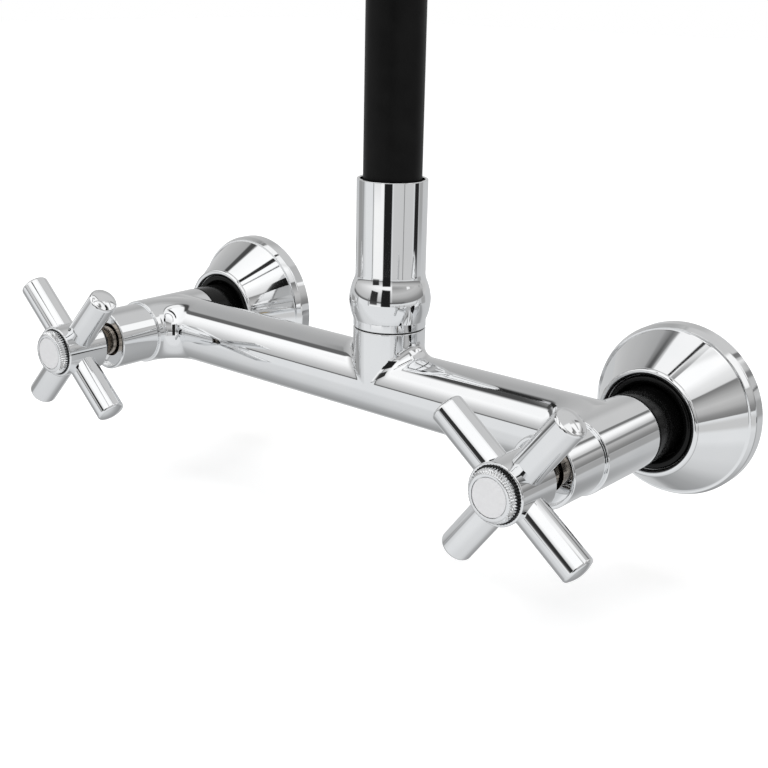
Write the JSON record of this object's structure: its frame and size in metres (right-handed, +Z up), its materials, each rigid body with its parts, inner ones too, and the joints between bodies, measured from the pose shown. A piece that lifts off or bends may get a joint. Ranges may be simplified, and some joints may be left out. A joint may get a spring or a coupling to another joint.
{
  "type": "wall mixer tap",
  "caption": "Chrome wall mixer with a tubular body, conical wall flanges, cross handles and a black flexible gooseneck spout that swivels and bends.",
  "frame": {"origin": "on the wall's face, midway between the two inlets, at the height of the body's axis", "axes": "+X along the body from the hot to the cold side, +Y into the wall, +Z up along the spout column"},
  "size_m": [0.2582, 0.244, 0.336],
  "materials": {
    "chrome": "polished chrome plate",
    "brass": "machined",
    "nickel": "nickel-plated brass",
    "steel": "stainless",
    "ceramic": "lapped",
    "black_rubber": "smooth",
    "seal_rubber": "smooth",
    "fibre": "pressed fibre",
    "hose": "satin silicone",
    "water_tube": "extruded",
    "plastic": "moulded",
    "satin_disc": "satin"
  },
  "bodies": {
    "mixer": {"body_casting": "chrome", "hot_inlet_nipple": "brass", "hot_inlet_washer": "fibre", "hot_flange_ring": "black_rubber", "hot_seat_seal": "seal_rubber", "hot_fixed_disc": "ceramic", "hot_headpart_body": "nickel", "hot_gland_ring": "seal_rubber", "hot_bonnet_collar": "chrome", "cold_inlet_nipple": "brass", "cold_inlet_washer": "fibre", "cold_flange_ring": "black_rubber", "cold_seat_seal": "seal_rubber", "cold_fixed_disc": "ceramic", "cold_headpart_body": "nickel", "cold_gland_ring": "seal_rubber", "cold_bonnet_collar": "chrome", "bearing_washer": "plastic", "catch_screw": "steel"},
    "hot_handle": {"hot_turning_disc": "ceramic", "hot_spindle": "brass", "hot_spindle_rings": "seal_rubber", "hot_spindle_clip": "steel", "hot_handle_hub": "chrome", "hot_handle_arms": "chrome", "hot_handle_screw": "steel", "hot_index_cap": "chrome", "hot_index_disc": "satin_disc"},
    "cold_handle": {"cold_turning_disc": "ceramic", "cold_spindle": "brass", "cold_spindle_rings": "seal_rubber", "cold_spindle_clip": "steel", "cold_handle_hub": "chrome", "cold_handle_arms": "chrome", "cold_handle_screw": "steel", "cold_index_cap": "chrome", "cold_index_disc": "satin_disc"},
    "hot_flange": {"hot_wall_flange": "chrome"},
    "cold_flange": {"cold_wall_flange": "chrome"},
    "spout": {"trim_ring": "chrome", "spout_base": "chrome", "spout_stem": "brass", "stem_rings": "seal_rubber", "hose_connector": "brass", "hose_riser": "hose", "core_riser": "steel", "water_riser": "water_tube"},
    "spout_arch": {"hose_arch": "hose", "core_arch": "steel", "water_arch": "water_tube"},
    "nozzle": {"hose_tail": "hose", "core_tail": "steel", "water_tail": "water_tube", "nozzle_body": "chrome", "aerator_ring": "chrome", "aerator_insert": "plastic", "aerator_washer": "seal_rubber"}
  },
  "joints": [
    {"name": "hot_handle_turn", "type": "hinge", "parent": "mixer", "child": "hot_handle", "pos_m": [-0.1, -0.0976, 0], "axis": [0, -1, 0], "range_deg": [0, 90]},
    {"name": "cold_handle_turn", "type": "hinge", "parent": "mixer", "child": "cold_handle", "pos_m": [0.1, -0.0976, 0], "axis": [0, 1, 0], "range_deg": [0, 90]},
    {"name": "spout_swivel", "type": "hinge", "parent": "mixer", "child": "spout", "pos_m": [0.012, -0.047, 0.0207], "axis": [0, 0, 1], "range_deg": [-95, 95]},
    {"name": "spout_bend", "type": "hinge", "parent": "spout", "child": "spout_arch", "pos_m": [0.012, -0.047, 0.198], "axis": [1, 0, 0], "range_deg": [-25, 25]},
    {"name": "nozzle_bend", "type": "hinge", "parent": "spout_arch", "child": "nozzle", "pos_m": [0.012, -0.217, 0.192], "axis": [1, 0, 0], "range_deg": [-25, 25]},
    {"name": "hot_flange_slide", "type": "slide", "parent": "mixer", "child": "hot_flange", "axis": [0, -1, 0], "range_m": [0, 0.008]},
    {"name": "cold_flange_slide", "type": "slide", "parent": "mixer", "child": "cold_flange", "axis": [0, -1, 0], "range_m": [0, 0.008]}
  ]
}
